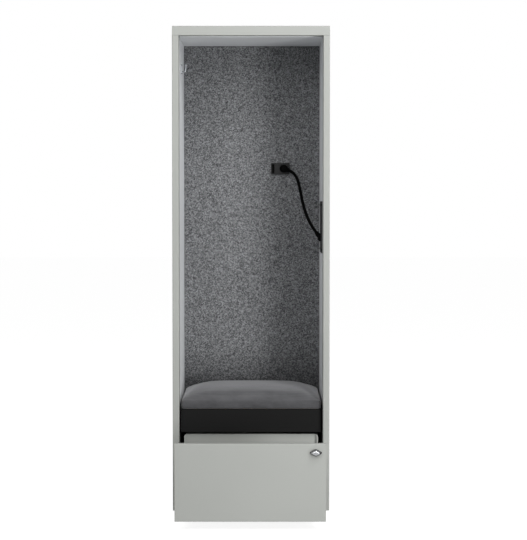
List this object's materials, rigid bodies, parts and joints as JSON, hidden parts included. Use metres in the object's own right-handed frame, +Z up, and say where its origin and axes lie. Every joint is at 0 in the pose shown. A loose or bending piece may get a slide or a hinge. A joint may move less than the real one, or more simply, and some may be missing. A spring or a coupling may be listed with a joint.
{
  "type": "open-fronted seating niche",
  "caption": "Tall open-fronted steel seating niche with a felt back, an upholstered bench over a lockable drawer, a coat hook and a power outlet with its lead.",
  "frame": {"origin": "on the floor under the middle of the carcass, whose plan is 600 mm by 500 mm", "axes": "+Z up, +Y from the open front towards the back, +X to the right seen from the front; the drawer stands out along -Y at rest"},
  "size_m": [0.6, 0.9201, 1.85],
  "materials": {
    "grey_steel": "light grey powder coat, fine texture",
    "pale_steel": "pale grey powder coat, fine texture",
    "black_steel": "black powder coat, matt",
    "zinc_steel": "bright zinc plate",
    "chrome": "polished",
    "felt": "dark grey melange pressed felt",
    "velour": "mid grey velour upholstery",
    "core": "sound-absorbing wool board",
    "plywood": "raw birch plywood",
    "black_plastic": "fine matt",
    "rubber": "soft moulded black"
  },
  "bodies": {
    "carcass": {"left_side_skin": "grey_steel", "left_side_liner": "pale_steel", "left_side_core": "core", "right_side_skin": "grey_steel", "right_side_liner": "pale_steel", "right_side_core": "core", "roof_cap": "grey_steel", "roof_core": "core", "ceiling_liner": "pale_steel", "rear_panel": "grey_steel", "rear_core": "core", "felt_carrier": "grey_steel", "felt_lining": "felt", "base_pan": "grey_steel", "bench_top": "black_steel", "bench_fascia": "black_steel", "bench_bar": "black_steel", "left_cheek": "black_steel", "right_cheek": "black_steel", "seat_board": "plywood", "seat_cushion": "velour", "left_slide_outer": "zinc_steel", "right_slide_outer": "zinc_steel", "coat_hook": "zinc_steel", "outlet_frame": "black_plastic", "socket_insert": "black_plastic", "narrow_insert": "black_plastic", "outlet_back_box": "black_plastic", "power_plug": "rubber", "wall_plate": "black_plastic", "lead_gland": "rubber", "power_lead": "rubber"},
    "drawer": {"drawer_front": "grey_steel", "drawer_front_backing": "grey_steel", "drawer_left_side": "grey_steel", "drawer_right_side": "grey_steel", "drawer_bottom": "grey_steel", "drawer_back": "grey_steel", "left_slide_inner": "zinc_steel", "right_slide_inner": "zinc_steel", "lock_housing": "chrome", "lock_nut": "zinc_steel"},
    "slide_middles": {"left_slide_middle": "zinc_steel", "right_slide_middle": "zinc_steel"},
    "outer_ball_cages": {"left_outer_ball_cage": "zinc_steel", "right_outer_ball_cage": "zinc_steel"},
    "inner_ball_cages": {"left_inner_ball_cage": "zinc_steel", "right_inner_ball_cage": "zinc_steel"},
    "lock": {"lock_knob": "chrome", "lock_knob_dot": "black_plastic", "lock_spindle": "zinc_steel", "lock_cam": "zinc_steel"}
  },
  "joints": [
    {"name": "drawer_slide", "type": "slide", "parent": "carcass", "child": "drawer", "axis": [0, -1, 0], "range_m": [-0.4, 0]},
    {"name": "slide_middle_travel", "type": "slide", "parent": "carcass", "child": "slide_middles", "axis": [0, -1, 0], "range_m": [-0.2, 0]},
    {"name": "outer_ball_travel", "type": "slide", "parent": "carcass", "child": "outer_ball_cages", "axis": [0, -1, 0], "range_m": [-0.1, 0]},
    {"name": "inner_ball_travel", "type": "slide", "parent": "carcass", "child": "inner_ball_cages", "axis": [0, -1, 0], "range_m": [-0.3, 0]},
    {"name": "lock_turn", "type": "hinge", "parent": "drawer", "child": "lock", "pos_m": [0.236, -0.65, 0.283], "axis": [0, 1, 0], "range_deg": [0, 90]}
  ],
  "couplings": [
    {"joint": "slide_middle_travel", "follows": "drawer_slide", "ratio": 0.5},
    {"joint": "outer_ball_travel", "follows": "drawer_slide", "ratio": 0.25},
    {"joint": "inner_ball_travel", "follows": "drawer_slide", "ratio": 0.75}
  ]
}
